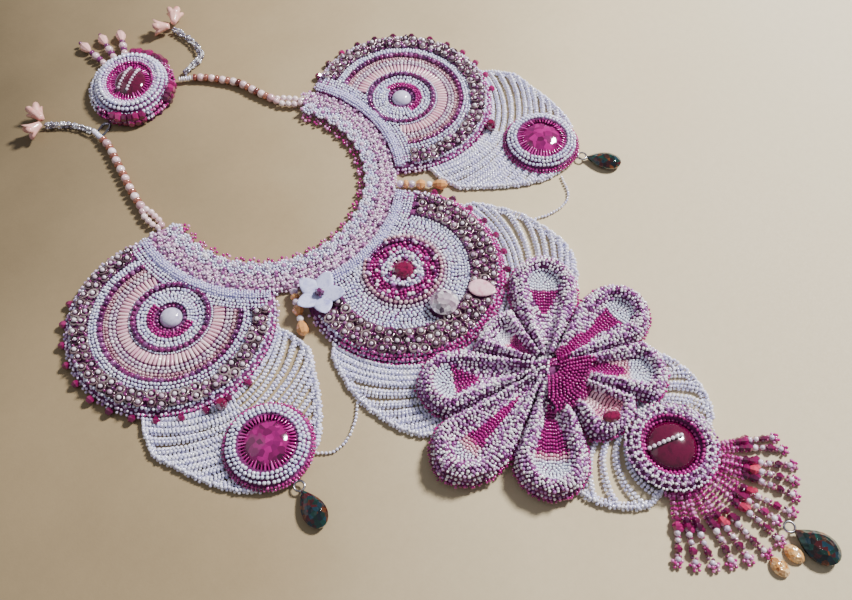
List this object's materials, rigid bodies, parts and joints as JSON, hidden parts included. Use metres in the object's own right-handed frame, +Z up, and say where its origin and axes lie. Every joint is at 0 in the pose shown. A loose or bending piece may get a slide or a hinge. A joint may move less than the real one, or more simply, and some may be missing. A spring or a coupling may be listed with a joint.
{
  "type": "bib necklace",
  "caption": "Beaded bib necklace lying flat: pierced collar, domed round fans, leaf-shaped bead nets, a petalled flower, a round pendant with fringe and pear drops.",
  "frame": {"origin": "middle of the underside of the necklace as it lies flat, on the surface it rests on", "axes": "+Y runs from the pendant to the clasp, +Z up out of the surface it lies on, +X to the right seen from above with the clasp at the top"},
  "size_m": [0.2664, 0.4442, 0.0129],
  "materials": {
    "seed_lilac": "glossy opaque lilac-white seed beads",
    "fan_beads": "rings of dark purple, pink and grey pearl beads",
    "net_white": "satin white seed beads",
    "magenta_glass": "polished dark magenta glass",
    "white_stone": "polished pale pink milky glass",
    "dark_crystal": "faceted dark iridescent crystal",
    "clear_glass": "faceted clear crystal",
    "pink_lucite": "satin salmon pink translucent lucite",
    "white_lucite": "satin white translucent lucite",
    "amber_glass": "faceted amber glass",
    "peach_pearl": "pearl coating, with copper spacers",
    "fringe_beads": "glossy magenta seed beads",
    "silver": "bright silver-coloured wire and beads"
  },
  "bodies": {
    "root": {"collar": "seed_lilac", "fan_left": "fan_beads", "fan_centre": "fan_beads", "fan_right": "fan_beads", "cabochon_left": "white_stone", "fan_crystal_left": "magenta_glass", "cabochon_right": "white_stone", "fan_crystal_right": "magenta_glass", "centre_stone": "magenta_glass", "net_side_left": "net_white", "net_centre_left": "net_white", "net_pendant_left": "net_white", "medallion_left": "seed_lilac", "medallion_stone_left": "magenta_glass", "amber_left": "amber_glass", "neck_string_left": "peach_pearl", "tail_left": "silver", "tail_flower_left_1": "pink_lucite", "tail_flower_left_2": "pink_lucite", "link_left": "net_white", "net_side_right": "net_white", "net_centre_right": "net_white", "net_pendant_right": "net_white", "medallion_right": "seed_lilac", "medallion_stone_right": "magenta_glass", "amber_right": "amber_glass", "neck_string_right": "peach_pearl", "tail_right": "silver", "tail_flower_right_1": "pink_lucite", "tail_flower_right_2": "pink_lucite", "link_right": "net_white", "medallion_pendant": "seed_lilac", "medallion_stone_pendant": "magenta_glass", "petal_1": "seed_lilac", "petal_2": "seed_lilac", "petal_3": "seed_lilac", "petal_4": "seed_lilac", "petal_5": "seed_lilac", "petal_6": "seed_lilac", "petal_7": "seed_lilac", "petal_8": "seed_lilac", "flower_heart": "seed_lilac", "flower_crystal": "magenta_glass", "fringe": "fringe_beads", "leaf_bead_right": "amber_glass", "leaf_bead_left": "amber_glass", "drop_left": "dark_crystal", "drop_right": "dark_crystal", "drop_pendant": "dark_crystal", "lily": "white_lucite", "clear_crystal": "clear_glass", "pink_leaf": "pink_lucite", "rosette_base": "fringe_beads", "rosette_rim": "seed_lilac", "rosette_stone": "magenta_glass", "dangle_1": "pink_lucite", "dangle_2": "pink_lucite", "dangle_3": "pink_lucite", "clasp": "silver"}
  },
  "joints": []
}
